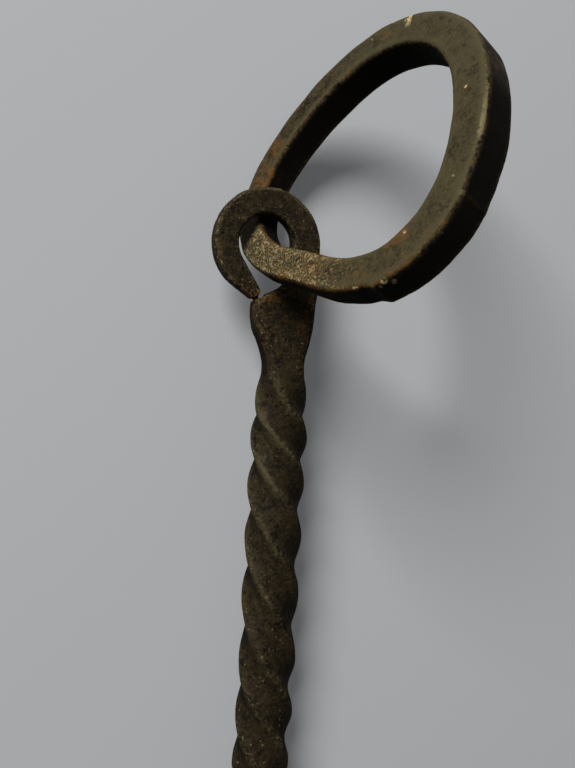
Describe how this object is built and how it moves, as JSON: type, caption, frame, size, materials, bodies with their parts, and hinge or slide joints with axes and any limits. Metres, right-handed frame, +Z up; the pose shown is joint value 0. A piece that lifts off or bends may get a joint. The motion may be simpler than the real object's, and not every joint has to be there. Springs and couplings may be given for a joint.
{
  "type": "toggle bolt latch",
  "caption": "Hand-forged toggle bolt: a ring pull in a rolled eye, a rope-twisted shank, a plain round length and a toggle riveted in its slotted end.",
  "frame": {"origin": "on the surface that the bolt lies on, under the middle of the whole part", "axes": "+Y along the shank towards the eye and ring, +X to the right seen from above with the eye at the top, +Z up"},
  "size_m": [0.0548, 0.2731, 0.0802],
  "materials": {
    "forged_bar": "hand-forged iron, fire scale, brown rust and rubbed ridges",
    "forged_ring": "hand-forged iron, smooth worn faces, rust at the edges",
    "forged_toggle": "hand-forged iron, fire scale and brown rust",
    "rivet_iron": "peened iron, rubbed bright on the heads"
  },
  "bodies": {
    "bolt": {"bolt_shank": "forged_bar", "toggle_rivet": "rivet_iron"},
    "ring": {"ring_pull": "forged_ring"},
    "toggle": {"toggle_bar": "forged_toggle"}
  },
  "joints": [
    {"name": "ring_fall", "type": "hinge", "parent": "bolt", "child": "ring", "pos_m": [-0.0023, 0.0948, 0.018], "axis": [-0.3681, -0.9298, 0], "range_deg": [0, 33]},
    {"name": "toggle_turn", "type": "hinge", "parent": "bolt", "child": "toggle", "pos_m": [-0.0055, -0.12803, 0.007], "axis": [0, -0.0399, 0.9992], "continuous": true}
  ]
}
